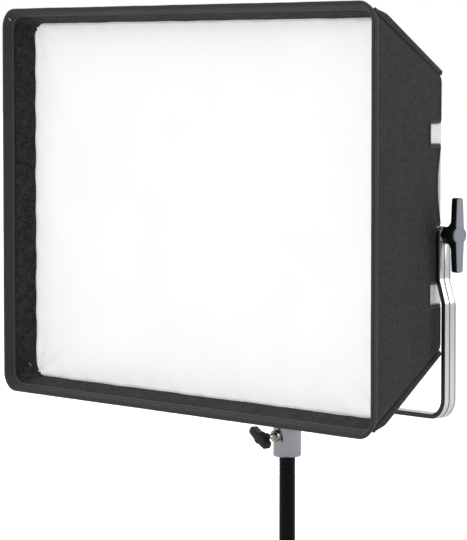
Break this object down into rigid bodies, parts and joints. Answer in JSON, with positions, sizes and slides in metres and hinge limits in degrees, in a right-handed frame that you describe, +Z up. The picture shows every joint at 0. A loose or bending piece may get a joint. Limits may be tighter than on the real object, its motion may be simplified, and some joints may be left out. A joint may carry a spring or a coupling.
{
  "type": "studio softbox",
  "caption": "Rectangular tapered softbox with a recessed white diffuser on a lighting panel, held by a tilting U yoke with clamp handles on a stand spigot.",
  "frame": {"origin": "centre of the lower end of the stand tube section, on the pan axis", "axes": "+Z up along the pan axis, -Y out of the lit front, +X to the right seen from the lit front's left"},
  "size_m": [0.75, 0.248, 0.7293],
  "materials": {
    "shell_fabric": "woven, charcoal",
    "seam_fabric": "woven tape, stitched",
    "loop_fabric": "hook-and-loop pile",
    "diffuser_fabric": "white translucent weave",
    "webbing": "flat woven strap",
    "spring_steel": "drawn",
    "panel_paint": "satin light grey",
    "opal_plastic": "opal",
    "circuit_board": "white solder mask",
    "emitter": "phosphor",
    "bare_aluminium": "milled",
    "pod_plastic": "fine texture",
    "display": "polished",
    "soft_black": "matte",
    "black_plastic": "moulded, fine grain",
    "grey_plastic": "moulded, fine grain",
    "yoke_aluminium": "brushed, anodised",
    "receiver_metal": "satin blasted",
    "plated_steel": "zinc plated",
    "friction_pad": "fibre",
    "brass": "turned",
    "tube_paint": "satin black"
  },
  "bodies": {
    "stand": {"stand_tube": "tube_paint", "stand_tube_plug": "black_plastic", "spigot": "plated_steel"},
    "yoke": {"yoke_bar": "yoke_aluminium", "spigot_receiver": "receiver_metal", "yoke_bolt": "plated_steel", "yoke_bolt_washer": "plated_steel", "lock_boss": "receiver_metal", "lock_insert": "brass", "lock_shoe": "brass", "friction_discs": "friction_pad", "arm_washers": "plated_steel"},
    "head": {"wall_top": "shell_fabric", "wall_bottom": "shell_fabric", "wall_left": "shell_fabric", "wall_right": "shell_fabric", "front_hem": "seam_fabric", "front_hem_rod": "spring_steel", "loop_tapes": "loop_fabric", "front_diffuser": "diffuser_fabric", "diffuser_border": "loop_fabric", "corner_sleeves": "seam_fabric", "corner_rods": "spring_steel", "rear_binding": "seam_fabric", "strap_upper_right": "webbing", "strap_upper_left": "webbing", "strap_lower_right": "webbing", "strap_lower_left": "webbing", "panel_frame": "panel_paint", "front_bezel": "panel_paint", "back_cover": "panel_paint", "opal_plate": "opal_plastic", "led_board": "circuit_board", "heat_spreader": "bare_aluminium", "led_emitters": "emitter", "board_standoffs": "plated_steel", "control_pod": "pod_plastic", "display_window": "display", "power_supply": "bare_aluminium", "mains_inlet": "black_plastic", "cover_screws": "plated_steel", "tilt_bosses": "black_plastic"},
    "lock_handle": {"lock_wing": "black_plastic", "lock_stud": "plated_steel"},
    "handle_right": {"tilt_handle_right": "black_plastic", "tilt_handle_cap_right": "grey_plastic", "tilt_stud_right": "plated_steel"},
    "handle_left": {"tilt_handle_left": "black_plastic", "tilt_handle_cap_left": "grey_plastic", "tilt_stud_left": "plated_steel"},
    "dial_brightness_body": {"dial_brightness": "soft_black"},
    "dial_colour_body": {"dial_colour": "soft_black"},
    "button_menu_body": {"button_menu": "soft_black"},
    "button_mode_body": {"button_mode": "soft_black"},
    "button_back_body": {"button_back": "soft_black"},
    "rocker_body": {"power_rocker": "black_plastic"}
  },
  "joints": [
    {"name": "pan", "type": "hinge", "parent": "stand", "child": "yoke", "pos_m": [0, 0, 0.2], "axis": [0, 0, 1], "continuous": true},
    {"name": "tilt", "type": "hinge", "parent": "yoke", "child": "head", "pos_m": [0, 0, 0.4443], "axis": [1, 0, 0], "range_deg": [-90, 4]},
    {"name": "receiver_lock", "type": "hinge", "parent": "yoke", "child": "lock_handle", "pos_m": [0, -0.04, 0.1683], "axis": [0, 1, 0], "range_deg": [-20, 360]},
    {"name": "clamp_right", "type": "hinge", "parent": "head", "child": "handle_right", "pos_m": [0.31, 0, 0.4443], "axis": [1, 0, 0], "range_deg": [-20, 360]},
    {"name": "clamp_left", "type": "hinge", "parent": "head", "child": "handle_left", "pos_m": [-0.31, 0, 0.4443], "axis": [-1, 0, 0], "range_deg": [-20, 360]},
    {"name": "dial_brightness_turn", "type": "hinge", "parent": "head", "child": "dial_brightness_body", "pos_m": [0.028, 0.052, 0.4913], "axis": [0, 1, 0], "continuous": true},
    {"name": "dial_colour_turn", "type": "hinge", "parent": "head", "child": "dial_colour_body", "pos_m": [0.092, 0.052, 0.4913], "axis": [0, 1, 0], "continuous": true},
    {"name": "button_menu_press", "type": "slide", "parent": "head", "child": "button_menu_body", "axis": [0, -1, 0], "range_m": [0, 0.0012], "stiffness_N_per_m": 900, "springref_m": -0.0006},
    {"name": "button_mode_press", "type": "slide", "parent": "head", "child": "button_mode_body", "axis": [0, -1, 0], "range_m": [0, 0.0012], "stiffness_N_per_m": 900, "springref_m": -0.0006},
    {"name": "button_back_press", "type": "slide", "parent": "head", "child": "button_back_body", "axis": [0, -1, 0], "range_m": [0, 0.0012], "stiffness_N_per_m": 900, "springref_m": -0.0006},
    {"name": "rocker_tilt", "type": "hinge", "parent": "head", "child": "rocker_body", "pos_m": [0.092, 0.0435, 0.4313], "axis": [-1, 0, 0], "range_deg": [0, 8]}
  ]
}
